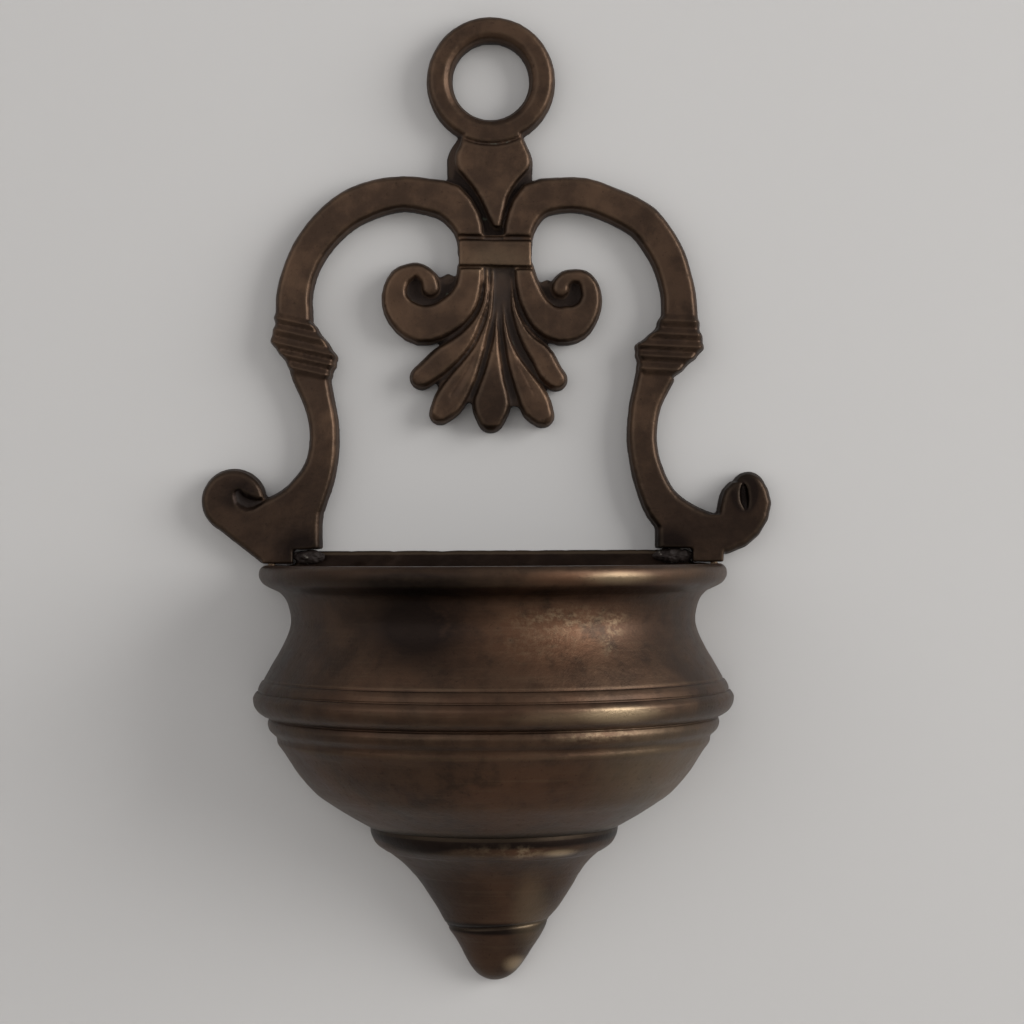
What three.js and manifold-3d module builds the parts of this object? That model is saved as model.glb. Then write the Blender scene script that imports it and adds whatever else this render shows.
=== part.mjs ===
// Wall-hung holy water font in patinated brass: an openwork hanger casting over a half-round bowl.
// Millimetres, +Z up, +X to the right as seen from the front. The wall is the plane y = 0.
// The origin is the hanging point: the top of the ring's hole, on the wall.
import * as THREE from "three";
import { mergeVertices } from "three/addons/utils/BufferGeometryUtils.js";
import Module from "manifold-3d";

// Bowl, a turned shape cut in half
const BOWL_RADIUS = 52.7; // at the belt
const BOWL_DEPTH = 57.1; // rim to the flat underside
const RIM_SHARE = 0.975; // of the bowl's radius, at the outside of the rim
const MOUTH_SHARE = 0.882; // of the bowl's radius, at the inside of the rim

// Hanger casting, whose places are measured from the rim's top and the font's middle line
const FOOT_OVERHANG = 9.8; // how far a foot's scroll reaches past the bowl's belt
const FRAME_REACH = BOWL_RADIUS + FOOT_OVERHANG;
const FRAME_RISE = 106; // rim to the ring's centre
const FRAME_DEPTH = 5; // wall to the front faces
const EDGE_DRAFT = 1.2; // how far a front face draws in from the outline at the back
const BAR_WIDTH = 8.2; // arms and legs
const WEB_DEPTH = 2; // thin metal beside the boss
const PALMETTE_WEB_DEPTH = 3.4; // metal left between the leaves
const RING_RADIUS = 14.2;
const RING_HOLE_RADIUS = 8.4;
const RING_HOLE_FLARE = 1.9; // the hole is wider at the front by this much all round
const BOSS_WIDTH = 18.2;
const COLLAR_WIDTH = 16;
const COLLAR_HEIGHT = 6;
const COLLAR_RISE_SHARE = 0.611; // of the frame's rise, at the collar's underside
const COLLAR_RISE = COLLAR_RISE_SHARE * FRAME_RISE;
const KNUCKLE_WIDTH = 15.4;
const KNUCKLE_SWELL = 0.8; // how far a knuckle stands proud of the bars
const REED_COUNT = 5;
const REED_DEPTH = 0.8;
const RING_LINE_ANGLES = [-Math.PI * 0.68, -Math.PI * 0.32];
const RING_LINE_DEPTH = 0.7;
const REED_ANGLES = { left: -Math.PI / 14, right: -Math.PI / 60 }; // the reeds fall to the right
const PALMETTE_REACH = 24; // middle line to the outside of a C-scroll
const PALMETTE_DROP = 36.5; // collar to the tip of the central leaf
const SCROLL_WIDTH = 8.6; // the C-scrolls at their widest
const LEAF_WIDTH = 9; // the central leaf at its widest
const VOLUTE_RADIUS = 7.2; // the left foot's scroll
const GROOVE_WIDTH = 1.2; // a line between two leaves
const GROOVE_DEPTH = 1.1;
const TONGUE_DEPTH = 1.2; // the sunk strip under the collar
const HOLLOW_DEPTH = 0.6; // of the two hollowed leaves
const VOLUTE_DEPTH = 1.7; // of the left foot's scroll
const HOOK_DEPTH = 1.9; // of the right foot's scroll
const VEE_FLOOR_SHARE = 0.15; // of a line's width, at its floor
const SUNK_FLOOR_SHARE = 0.7; // of a flat-floored strip's width
const TAB_WIDTH = 6.7; // the part of a foot that stands on the rim

// Back plate
const PLATE_THICKNESS = 1.6;
const PLATE_UPSTAND = 3; // above the rim, between the feet
const PLATE_INSET = 0.5; // inside the bowl's outline

// Pendant and drop
const PENDANT_RADIUS = 27.1;
const PENDANT_HEIGHT = 22;
const DROP_RADIUS = 10.7;
const DROP_HEIGHT = 12.2;

// Fixings
const STUD_RADIUS = 1.6;
const STUD_OFFSET = 4.6; // axis of the stud to the wall
const STUD_GRIP = 3; // how far it enters the bowl's floor
const STUD_IN_DROP = 6;
const PIN_RADIUS = 0.8;
const PIN_OFFSET = 3.3; // axis of a pin to the wall
const PIN_PLACE_SHARE = 0.38; // of the way from the bowl's mouth to the rim's outside
const PIN_IN_FOOT = 4;
const PIN_IN_RIM = 3.4;
const SOLDER_LENGTH = 7.5;
const SOLDER_HEIGHT = 2.6;
const SOLDER_DEPTH = 2.7;

const CLEARANCE = 0.3; // between pieces that touch
const RIDGE_SHARE = 0.85; // a narrow bar's shoulders take up this much of its half width
const TIP_FLAT_SHARE = 0.2; // of a step, left off the end of a round tip
const MERGE_DISTANCE = 0.0003; // between corners that are one and the same
const OVERRUN = 1; // how far a shape runs past the face that trims it
const TURN_SEGMENT_COUNT = 56; // round the whole turned shapes
const SMALL_SEGMENT_COUNT = 20;
const RING_SEGMENT_COUNT = 40;
const BAR_STEP_COUNT = 2; // between one station and the next
const SCROLL_STEP_COUNT = 3; // the C-scrolls turn more sharply
const GROOVE_STEP_COUNT = 2;
const RING_LINE_STEP_COUNT = 6;
const TIP_STEP_COUNT = 6; // round the end of a lobe
const REED_STEP_COUNT = 4; // across one reed
const MOULDING_STEP_COUNT = 2;
const COLLAR_BEVEL_COUNT = 2;

// The hanger's bars and lobes are lists of stations along their middle line. Each station is
// [across share, height share, half width share], with an optional depth share.
const ARM_SHARES = {
  left: [
    [-0.07, 0.64, 0.76],
    [-0.072, 0.674, 0.79],
    [-0.09, 0.71, 0.92],
    [-0.148, 0.75, 1.07],
    [-0.215, 0.761, 1],
    [-0.307, 0.768, 0.95],
    [-0.395, 0.76, 1],
    [-0.47, 0.744, 1.04],
    [-0.522, 0.726, 1.02],
    [-0.577, 0.697, 1],
    [-0.622, 0.665, 0.98],
    [-0.657, 0.629, 0.96],
    [-0.682, 0.59, 0.96],
    [-0.694, 0.55, 0.99],
    [-0.692, 0.49, 1.02],
  ],
  right: [
    [0.09, 0.64, 0.8],
    [0.0905, 0.674, 0.85],
    [0.106, 0.711, 0.92],
    [0.151, 0.752, 1.07],
    [0.232, 0.763, 0.97],
    [0.326, 0.762, 0.97],
    [0.406, 0.746, 0.94],
    [0.485, 0.725, 0.97],
    [0.536, 0.705, 0.98],
    [0.579, 0.674, 0.98],
    [0.619, 0.633, 0.97],
    [0.642, 0.592, 0.94],
    [0.656, 0.554, 0.95],
    [0.659, 0.504, 1],
  ],
};
const KNUCKLE_SHARES = {
  left: [
    [-0.697, 0.513, 0.58],
    [-0.676, 0.481, 0.76],
    [-0.659, 0.445, 1],
    [-0.644, 0.417, 0.8],
    [-0.635, 0.386, 0.57],
  ],
  right: [
    [0.658, 0.513, 0.55],
    [0.65, 0.478, 0.72],
    [0.623, 0.447, 1],
    [0.604, 0.42, 0.83],
    [0.576, 0.386, 0.56],
  ],
};
const LEG_SHARES = {
  left: [
    [-0.642, 0.412, 1.1],
    [-0.635, 0.392, 1.06],
    [-0.621, 0.363, 0.93],
    [-0.606, 0.332, 0.84],
    [-0.593, 0.296, 0.81],
    [-0.589, 0.259, 0.8],
    [-0.597, 0.217, 0.85],
    [-0.612, 0.186, 0.94],
    [-0.639, 0.155, 1.1],
    [-0.676, 0.121, 1.34],
    [-0.73, 0.0935, 1.48],
    [-0.79, 0.083, 1.42],
    [-0.822, 0.085, 1.38],
  ],
  right: [
    [0.576, 0.393, 1.09],
    [0.555, 0.36, 0.95],
    [0.538, 0.329, 0.87],
    [0.528, 0.293, 0.83],
    [0.525, 0.256, 0.82],
    [0.532, 0.219, 0.82],
    [0.545, 0.187, 0.87],
    [0.566, 0.153, 0.93],
    [0.597, 0.119, 1.05],
    [0.649, 0.0896, 1.15],
    [0.727, 0.0686, 1.1],
    [0.814, 0.059, 1.07],
    [0.885, 0.0828, 1],
    [0.9135, 0.1242, 1],
    [0.895, 0.155, 0.94],
  ],
};
const FOOT_SHARES = [
  [-0.757, 0.051, 1.5],
  [-0.93, 0.113, 1.12],
];
const HEEL_SHARES = {
  left: [
    [-0.656, 0.135, 1.05],
    [-0.66, 0.083, 0.95],
    [-0.656, 0.037, 0.9],
  ],
  right: [
    [0.63, 0.112, 0.95],
    [0.633, 0.073, 0.97],
    [0.632, 0.037, 0.97],
  ],
};
const TAB_PLACE_SHARE = 0.1;
const TAB_TOP_SHARE = 0.1;
const VOLUTE_PLACE_SHARES = [-0.906, 0.132];
const VOLUTE_GROOVE_SHARES = [
  [-0.779, 0.14, 0.7, 0.3],
  [-0.814, 0.13, 1.8, 0.8],
  [-0.853, 0.128, 3.4, 1],
  [-0.88, 0.138, 3.1, 0.9],
  [-0.891, 0.155, 1.4, 0.4],
];
const HOOK_FILL_SHARES = [
  [0.878, 0.16, 0.72],
  [0.865, 0.138, 0.98],
  [0.853, 0.117, 0.98],
  [0.84, 0.07, 0.98],
];
const HOOK_GROOVE_SHARES = [
  [0.874, 0.167, 0.5, 0.2],
  [0.877, 0.15, 1.6, 0.9],
  [0.88, 0.127, 1.8, 1],
  [0.887, 0.109, 0.7, 0.3],
];
const BOSS_SHARES = [
  [0.003, 0.884, 0.72],
  [0.006, 0.866, 0.83],
  [0.006, 0.846, 0.94],
  [0.008, 0.828, 0.955],
  [0.008, 0.813, 0.89],
  [0.006, 0.796, 0.71],
  [0.006, 0.776, 0.53],
  [0.008, 0.755, 0.39],
  [0.012, 0.734, 0.3],
  [0.016, 0.7135, 0.22],
  [0.02, 0.697, 0.15],
];
const BOSS_WEB_SHARES = [
  [-0.008, 0.884, 0.75],
  [-0.008, 0.875, 0.82],
  [-0.01, 0.859, 0.93],
  [-0.007, 0.838, 1.03],
  [-0.005, 0.821, 1.045],
  [-0.006, 0.79, 1.02],
  [0, 0.74, 0.9],
  [0.005, 0.64, 0.6],
];
const COLLAR_SHIFT_SHARE = 0.013;
const LIP_SHARES = [
  [-0.105, 0.6765, 0.12],
  [0.13, 0.6765, 0.12],
];

// Lines cut across the neck above and below the collar: [across, height, width, depth]
const COLLAR_GROOVE_SHARES = [
  [
    [-0.127, 0.674, 1.2, 0.8],
    [0.013, 0.672, 1.2, 0.8],
    [0.153, 0.671, 1.2, 0.8],
  ],
  [
    [-0.13, 0.6125, 0.75, 0.75],
    [0.012, 0.6115, 0.75, 0.75],
    [0.155, 0.609, 0.75, 0.75],
  ],
];

// Palmette stations, measured from the collar's underside: [across, down, half width, depth]
const SCROLL_SHARES = {
  left: [
    [-0.184, -0.02, 0.72],
    [-0.213, 0.12, 0.78],
    [-0.292, 0.223, 0.92],
    [-0.455, 0.307, 1],
    [-0.648, 0.334, 1.08],
    [-0.822, 0.259, 0.9],
    [-0.882, 0.157, 0.72],
    [-0.828, 0.057, 0.62],
    [-0.713, 0.015, 0.49],
  ],
  right: [
    [0.284, -0.02, 0.54],
    [0.326, 0.114, 0.69],
    [0.398, 0.229, 0.79],
    [0.497, 0.307, 0.92],
    [0.624, 0.343, 1.03],
    [0.762, 0.322, 1],
    [0.864, 0.259, 0.74],
    [0.903, 0.187, 0.62],
    [0.886, 0.114, 0.56],
    [0.826, 0.063, 0.49],
    [0.739, 0.054, 0.44],
  ],
};
const LOBE_SHARES = {
  left: [
    [-0.75, 0.027, 0.5],
    [-0.713, 0.016, 0.485],
    [-0.655, 0.02, 0.48],
    [-0.575, 0.066, 0.53],
    [-0.555, 0.12, 0.56],
  ],
  right: [
    [0.775, 0.057, 0.45],
    [0.739, 0.055, 0.44],
    [0.685, 0.066, 0.5],
    [0.632, 0.105, 0.54],
    [0.63, 0.13, 0.54],
  ],
};
const LEAF_SHARES = [
  [
    [-0.042, -0.01, 0.15, 0.8],
    [-0.044, 0.1, 0.17, 0.88],
    [-0.06, 0.2, 0.2, 0.92],
    [-0.09, 0.262, 0.24, 0.94],
    [-0.143, 0.331, 0.34, 0.95],
    [-0.22, 0.412, 0.48, 1],
    [-0.321, 0.48, 0.6, 1],
    [-0.43, 0.537, 0.7, 1],
    [-0.531, 0.596, 0.68, 1],
    [-0.652, 0.657, 0.61, 1],
  ],
  [
    [0.012, -0.01, 0.13, 0.76],
    [0.007, 0.1, 0.15, 0.82],
    [-0.004, 0.198, 0.17, 0.88],
    [-0.024, 0.293, 0.22, 0.9],
    [-0.07, 0.388, 0.29, 0.92],
    [-0.116, 0.478, 0.39, 0.95],
    [-0.18, 0.567, 0.53, 0.95],
    [-0.258, 0.656, 0.7, 0.95],
    [-0.345, 0.746, 0.8, 0.95],
    [-0.414, 0.819, 0.78, 0.95],
    [-0.497, 0.889, 0.54, 0.95],
  ],
  [
    [0.045, 0.23, 0.06, 0.7],
    [0.04, 0.329, 0.12, 0.82],
    [0.039, 0.407, 0.22, 0.92],
    [0.029, 0.496, 0.36, 0.95],
    [0.019, 0.592, 0.51, 0.95],
    [0.009, 0.681, 0.7, 0.95],
    [0, 0.765, 0.92, 0.95],
    [-0.007, 0.813, 0.98, 0.95],
    [-0.012, 0.875, 0.87, 0.95],
    [-0.015, 0.945, 0.6, 0.95],
  ],
  [
    [0.1, 0.2, 0.06, 0.7],
    [0.11, 0.29, 0.13, 0.82],
    [0.125, 0.377, 0.22, 0.9],
    [0.156, 0.467, 0.32, 0.92],
    [0.201, 0.556, 0.44, 0.95],
    [0.264, 0.646, 0.6, 0.95],
    [0.336, 0.736, 0.75, 0.95],
    [0.413, 0.843, 0.8, 0.95],
    [0.483, 0.909, 0.56, 0.95],
  ],
  [
    [0.18, 0.05, 0.07, 0.7],
    [0.187, 0.15, 0.14, 0.82],
    [0.203, 0.246, 0.22, 0.92],
    [0.248, 0.33, 0.34, 0.95],
    [0.311, 0.407, 0.46, 1],
    [0.388, 0.479, 0.58, 1],
    [0.464, 0.545, 0.65, 1],
    [0.522, 0.623, 0.66, 1],
    [0.592, 0.675, 0.59, 1],
  ],
];

// Lines between the lobes, from left to right: [across, down, width]
const LEAF_LINE_SHARES = [
  [
    [-0.086, 0.024, 0.55],
    [-0.096, 0.138, 0.55],
    [-0.124, 0.233, 0.62],
    [-0.188, 0.31, 0.65],
    [-0.279, 0.382, 0.65],
    [-0.388, 0.429, 0.65],
    [-0.498, 0.465, 0.65],
    [-0.625, 0.494, 0.73],
  ],
  [
    [-0.023, 0.174, 0.55],
    [-0.061, 0.287, 0.62],
    [-0.116, 0.376, 0.73],
    [-0.171, 0.454, 0.8],
    [-0.244, 0.525, 0.8],
    [-0.317, 0.579, 0.8],
    [-0.39, 0.632, 0.8],
    [-0.472, 0.68, 0.84],
    [-0.599, 0.739, 0.9],
  ],
  [
    [0.021, 0.317, 0.55],
    [-0.025, 0.406, 0.73],
    [-0.044, 0.484, 1],
    [-0.081, 0.567, 1],
    [-0.118, 0.663, 1],
    [-0.154, 0.746, 1.1],
    [-0.228, 0.836, 1.3],
    [-0.283, 0.883, 1.45],
  ],
  [
    [0.066, 0.347, 0.55],
    [0.084, 0.466, 0.82],
    [0.11, 0.568, 1.1],
    [0.146, 0.676, 1.1],
    [0.181, 0.765, 1.1],
    [0.217, 0.843, 1.1],
    [0.226, 0.897, 1.3],
  ],
  [
    [0.139, 0.282, 0.55],
    [0.175, 0.389, 0.73],
    [0.229, 0.485, 1],
    [0.301, 0.569, 1.1],
    [0.382, 0.64, 1.1],
    [0.445, 0.7, 1.1],
    [0.508, 0.748, 1.1],
  ],
  [
    [0.182, 0.025, 0.9],
    [0.195, 0.138, 1],
    [0.23, 0.24, 1.1],
    [0.293, 0.33, 1.2],
    [0.375, 0.402, 1.2],
    [0.456, 0.444, 1.1],
    [0.565, 0.483, 1.1],
  ],
];
const TONGUE_SHARES = [
  [0.087, 0.013, 3.6],
  [0.086, 0.108, 3.4],
  [0.081, 0.198, 2.7],
  [0.076, 0.275, 1.8],
  [0.066, 0.347, 0.9],
];
const LEAF_HOLLOW_SHARES = [
  [
    [-0.116, 0.466, 0.5, 0.2],
    [-0.18, 0.561, 1.6, 0.8],
    [-0.263, 0.662, 2.4, 1],
    [-0.363, 0.764, 2.2, 1],
    [-0.427, 0.829, 0.9, 0.2],
  ],
  [
    [0.165, 0.437, 0.5, 0.2],
    [0.228, 0.544, 1.3, 0.7],
    [0.309, 0.652, 1.8, 0.8],
    [0.39, 0.754, 1.8, 0.8],
    [0.453, 0.838, 0.9, 0.2],
  ],
];

const PALMETTE_WEB_SHARES = [
  [0.02, -0.02, 1.2],
  [0.03, 0.12, 1.5],
  [0.03, 0.27, 2],
  [0.01, 0.38, 2.3],
  [-0.015, 0.48, 2.4],
  [-0.015, 0.6, 2.65],
  [-0.02, 0.73, 2.55],
  [-0.03, 0.815, 2],
];

// The sunk floor of a C-scroll's eye
const EYE_WEB_SHARES = {
  left: [
    [-0.355, 0.04, 0.3, 0.5],
    [-0.4, 0.09, 0.6, 0.5],
    [-0.46, 0.13, 0.8, 0.5],
    [-0.62, 0.14, 0.9, 0.55],
    [-0.78, 0.14, 0.8, 0.6],
  ],
  right: [
    [0.47, 0.078, 0.3, 0.5],
    [0.505, 0.12, 0.5, 0.5],
    [0.57, 0.15, 0.7, 0.5],
    [0.7, 0.16, 0.85, 0.55],
    [0.82, 0.16, 0.75, 0.6],
  ],
};

// The rounded shoulder of a bar: [share of the draft, share of the depth], from the outline inwards
const SHOULDER_SHARES = [
  [0.1, 0.5],
  [0.42, 0.84],
  [1, 1],
];

// Turned profiles from the top down, as [radius, drop] shares. Each list is one smooth moulding,
// and there is a crease between one moulding and the next.
const BOWL_SHARES = [
  [
    [0.956, 0],
    [RIM_SHARE, 0.03],
    [0.968, 0.061],
    [0.935, 0.084],
    [0.886, 0.107],
    [0.853, 0.15],
    [0.843, 0.2],
    [0.859, 0.268],
    [0.905, 0.35],
    [0.952, 0.428],
  ],
  [
    [0.959, 0.441],
    [0.971, 0.457],
    [0.98, 0.474],
  ],
  [
    [0.987, 0.482],
    [1, 0.512],
    [0.988, 0.55],
    [0.957, 0.573],
  ],
  [
    [0.934, 0.583],
    [0.94, 0.607],
    [0.922, 0.642],
  ],
  [
    [0.902, 0.662],
    [0.875, 0.713],
    [0.822, 0.788],
    [0.741, 0.874],
    [0.64, 0.938],
    [0.524, 1],
  ],
];
const CAVITY_SHARES = [
  [
    [MOUTH_SHARE, 0],
    [0.865, 0.045],
    [0.815, 0.1],
    [0.789, 0.2],
    [0.815, 0.33],
    [0.87, 0.45],
    [0.892, 0.52],
    [0.87, 0.62],
    [0.79, 0.75],
    [0.67, 0.85],
    [0.42, 0.91],
  ],
];
const PENDANT_SHARES = [
  [
    [0.99, 0],
    [1, 0.05],
    [0.988, 0.118],
    [0.952, 0.184],
    [0.89, 0.235],
  ],
  [
    [0.863, 0.25],
    [0.782, 0.341],
    [0.723, 0.423],
    [0.69, 0.473],
  ],
  [
    [0.683, 0.485],
    [0.437, 0.97],
  ],
  [
    [0.425, 0.98],
    [0.41, 1],
  ],
];
const DROP_SHARES = [
  [
    [1, 0],
    [0.935, 0.098],
    [0.757, 0.385],
    [0.645, 0.598],
    [0.505, 0.779],
    [0.346, 0.902],
    [0.154, 0.975],
    [0, 1],
  ],
];

// Brass as it looks on each piece
const FINISHES = {
  dark_brass: { color: 0x4a3a2e, roughness: 0.42, metalness: 0.85 },
  worn_brass: { color: 0x6b5540, roughness: 0.36, metalness: 0.9 },
  plate_brass: { color: 0x2c2420, roughness: 0.62, metalness: 0.7 },
  fixing_brass: { color: 0x8f7440, roughness: 0.4, metalness: 0.95 },
  solder_grey: { color: 0x77736a, roughness: 0.55, metalness: 0.8 },
};

const LEVEL = new THREE.Vector2(1, 0);

const wasm = await Module();
wasm.setup();

// A closed geometry as a solid that can be joined and cut
function solidOf(geometry) {
  const bare = geometry.clone();
  bare.deleteAttribute("normal");
  bare.deleteAttribute("uv");
  const merged = mergeVertices(bare, MERGE_DISTANCE);
  return new wasm.Manifold(
    new wasm.Mesh({
      numProp: 3,
      vertProperties: new Float32Array(merged.attributes.position.array),
      triVerts: new Uint32Array(merged.index.array),
    }),
  );
}

function geometryOf(solid) {
  const mesh = solid.getMesh();
  const geometry = new THREE.BufferGeometry();
  geometry.setAttribute("position", new THREE.BufferAttribute(mesh.vertProperties, 3));
  geometry.setIndex(new THREE.BufferAttribute(mesh.triVerts, 1));
  const faceted = geometry.toNonIndexed();
  faceted.computeVertexNormals();
  return faceted;
}

function joined(solids) {
  return solids.reduce((whole, next) => whole.add(next));
}

// A box between two corners
function block(low, high) {
  const size = new THREE.Vector3().subVectors(high, low);
  const geometry = new THREE.BoxGeometry(size.x, size.y, size.z);
  const middle = new THREE.Vector3().addVectors(low, high).multiplyScalar(0.5);
  geometry.translate(middle.x, middle.y, middle.z);
  return solidOf(geometry);
}

// All that lies in front of a plane parallel to the wall
function inFrontOf(plane, reach) {
  const low = new THREE.Vector3(-reach, -reach, -reach);
  const high = new THREE.Vector3(reach, plane, reach);
  return block(low, high);
}

// A profile of [radius, height] turned about the vertical axis
function turned(profile, segments = TURN_SEGMENT_COUNT) {
  const geometry = new THREE.LatheGeometry(profile, segments);
  geometry.rotateX(Math.PI / 2);
  return rightSideOut(geometry);
}

function pin(radius, low, high, across, forward) {
  const geometry = new THREE.CylinderGeometry(radius, radius, high - low, SMALL_SEGMENT_COUNT);
  geometry.rotateX(Math.PI / 2);
  geometry.translate(across, -forward, (low + high) / 2);
  return solidOf(geometry);
}

// Height of a bar's front surface at a distance in from its outline
function shoulderHeight(distance, draft, depth) {
  let [lastIn, lastUp] = [0, 0];
  for (const [inShare, upShare] of SHOULDER_SHARES) {
    const inward = inShare * draft;
    const up = upShare * depth;
    if (distance <= inward) {
      return lastUp + ((up - lastUp) * (distance - lastIn)) / (inward - lastIn);
    }
    [lastIn, lastUp] = [inward, up];
  }
  return depth;
}

// Stations along a smooth line through the given ones, as middle, half width and depth
function stationsAlong(given, steps) {
  const line = new THREE.CatmullRomCurve3(
    given.map((station) => new THREE.Vector3(station.x, station.half, station.z)),
    false,
    "centripetal",
  );
  const spans = given.length - 1;
  const count = spans * steps;
  return Array.from({ length: count + 1 }, (_, index) => {
    const spot = line.getPoint(index / count);
    const span = Math.min(Math.floor(index / steps), spans - 1);
    const along = index / steps - span;
    const depth = THREE.MathUtils.lerp(given[span].depth, given[span + 1].depth, along);
    return { x: spot.x, z: spot.z, half: spot.y, depth };
  });
}

// Gives each station its direction across the bar
function withCrossings(stations, crossing) {
  return stations.map((station, index) => {
    const before = stations[Math.max(index - 1, 0)];
    const after = stations[Math.min(index + 1, stations.length - 1)];
    const run = new THREE.Vector2(after.x - before.x, after.z - before.z).normalize();
    const across = crossing ?? new THREE.Vector2(-run.y, run.x);
    return { ...station, run, across };
  });
}

// A round end: stations round an arc that carries on from the slope of the bar's sides
function roundTip(before, last, steps) {
  const length = Math.hypot(last.x - before.x, last.z - before.z);
  const start = Math.atan(Math.max(before.half - last.half, 0) / length);
  const endRadius = last.half / Math.cos(start);
  const turn = (Math.PI / 2 - start) / (steps + TIP_FLAT_SHARE);
  return Array.from({ length: steps }, (_, index) => {
    const angle = start + (index + 1) * turn;
    const ahead = endRadius * Math.sin(angle);
    const onward = ahead - endRadius * Math.sin(start);
    return {
      ...last,
      x: last.x + last.run.x * onward,
      z: last.z + last.run.y * onward,
      half: endRadius * Math.cos(angle),
      endRadius,
      ahead,
    };
  });
}

// One station's ring of points: up one shoulder, across the front, down the other and behind the wall
function ringOf(station, draft) {
  const { half, depth, endRadius = half, ahead = 0 } = station;
  const drawIn = Math.min(draft, endRadius * RIDGE_SHARE);
  const rise = SHOULDER_SHARES.map(([inShare]) => {
    const inward = inShare * Math.min(draft, half * RIDGE_SHARE);
    const fromEdge = endRadius - Math.hypot(half - inward, ahead);
    return [half - inward, shoulderHeight(fromEdge, drawIn, depth)];
  });
  const side = [[half, -OVERRUN], [half, 0], ...rise];
  const other = side.map(([reach, forward]) => [-reach, forward]);
  return [...other, ...side.toReversed()].map(([reach, forward]) => {
    const x = station.x + station.across.x * reach;
    const z = station.z + station.across.y * reach;
    return new THREE.Vector3(x, -forward, z);
  });
}

// Skins a row of rings into one closed solid with flat ends
function skinned(rings) {
  const size = rings[0].length;
  const positions = rings.flat().flatMap((point) => point.toArray());
  const index = [];
  for (let row = 0; row < rings.length - 1; row += 1) {
    for (let column = 0; column < size; column += 1) {
      const next = (column + 1) % size;
      const a = row * size + column;
      const b = row * size + next;
      const c = (row + 1) * size + next;
      const d = (row + 1) * size + column;
      index.push(a, b, c, a, c, d);
    }
  }
  const last = (rings.length - 1) * size;
  for (let column = 1; column < size - 1; column += 1) {
    index.push(0, column + 1, column);
    index.push(last, last + column, last + column + 1);
  }
  const geometry = new THREE.BufferGeometry();
  geometry.setAttribute("position", new THREE.Float32BufferAttribute(positions, 3));
  geometry.setIndex(index);
  return rightSideOut(geometry);
}

// A cast bar, lobe or leaf
function bar(given, { steps = BAR_STEP_COUNT, tip = false, draft = EDGE_DRAFT, crossing = null } = {}) {
  const stations = withCrossings(stationsAlong(given, steps), crossing);
  if (tip) stations.push(...roundTip(stations.at(-2), stations.at(-1), TIP_STEP_COUNT));
  return skinned(stations.map((station) => ringOf(station, draft)));
}

// A cutting tool along a line on the front face, whose floor is this share of its width
function grooveTool(given, floorShare = VEE_FLOOR_SHARE) {
  const stations = withCrossings(stationsAlong(given, GROOVE_STEP_COUNT), null);
  const face = FRAME_DEPTH + KNUCKLE_SWELL;
  return skinned(
    stations.map((station) => {
      const { half, depth } = station;
      const shape = [
        [half * floorShare, FRAME_DEPTH - depth],
        [half, FRAME_DEPTH],
        [half, face],
      ];
      const other = shape.map(([reach, forward]) => [-reach, forward]);
      return [...other, ...shape.toReversed()].map(([reach, forward]) => {
        const x = station.x + station.across.x * reach;
        const z = station.z + station.across.y * reach;
        return new THREE.Vector3(x, -forward, z);
      });
    }),
  );
}

// Stations from shares of the frame's own sizes
function frameStations(shares, width, depth = FRAME_DEPTH) {
  return shares.map(([across, up, half = 1, deep = 1]) => ({
    x: across * FRAME_REACH,
    z: up * FRAME_RISE,
    half: (half * width) / 2,
    depth: deep * depth,
  }));
}

// Stations from shares of the palmette's sizes, measured down from the collar
function palmetteStations(shares, width, depth = FRAME_DEPTH) {
  return shares.map(([across, down, half, deep = 1]) => ({
    x: across * PALMETTE_REACH,
    z: COLLAR_RISE - down * PALMETTE_DROP,
    half: (half * width) / 2,
    depth: deep * depth,
  }));
}

function hangingRing() {
  const depth = FRAME_DEPTH;
  const outer = SHOULDER_SHARES.map(
    ([inward, up]) => new THREE.Vector2(RING_RADIUS - inward * EDGE_DRAFT, -up * depth),
  );
  const inner = SHOULDER_SHARES.map(
    ([inward, up]) => new THREE.Vector2(RING_HOLE_RADIUS + inward * RING_HOLE_FLARE, -up * depth),
  );
  const profile = [
    new THREE.Vector2(RING_HOLE_RADIUS, OVERRUN),
    new THREE.Vector2(RING_RADIUS, OVERRUN),
    new THREE.Vector2(RING_RADIUS, 0),
    ...outer,
    ...inner.toReversed(),
    new THREE.Vector2(RING_HOLE_RADIUS, 0),
    new THREE.Vector2(RING_HOLE_RADIUS, OVERRUN),
  ];
  const geometry = new THREE.LatheGeometry(profile, RING_SEGMENT_COUNT);
  geometry.translate(0, 0, FRAME_RISE);
  return rightSideOut(geometry);
}

// Faces follow the direction of a profile or line, so this turns them out where need be
function rightSideOut(geometry) {
  const solid = solidOf(geometry);
  if (solid.volume() >= 0) return solid;
  const index = Array.from(geometry.index.array);
  geometry.setIndex(index.map((_, at) => index[at - (at % 3) + (2 - (at % 3))]));
  return solidOf(geometry);
}

function collar() {
  const draft = EDGE_DRAFT / 2;
  const shape = new THREE.Shape();
  const half = COLLAR_WIDTH / 2;
  shape.moveTo(-half, 0);
  shape.lineTo(half, 0);
  shape.lineTo(half, COLLAR_HEIGHT);
  shape.lineTo(-half, COLLAR_HEIGHT);
  shape.closePath();
  const geometry = new THREE.ExtrudeGeometry(shape, {
    depth: FRAME_DEPTH - draft,
    bevelThickness: draft,
    bevelSize: draft,
    bevelOffset: -draft,
    bevelSegments: COLLAR_BEVEL_COUNT,
  });
  geometry.rotateX(Math.PI / 2);
  geometry.translate(COLLAR_SHIFT_SHARE * FRAME_REACH, 0, COLLAR_RISE);
  return solidOf(geometry);
}

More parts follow.
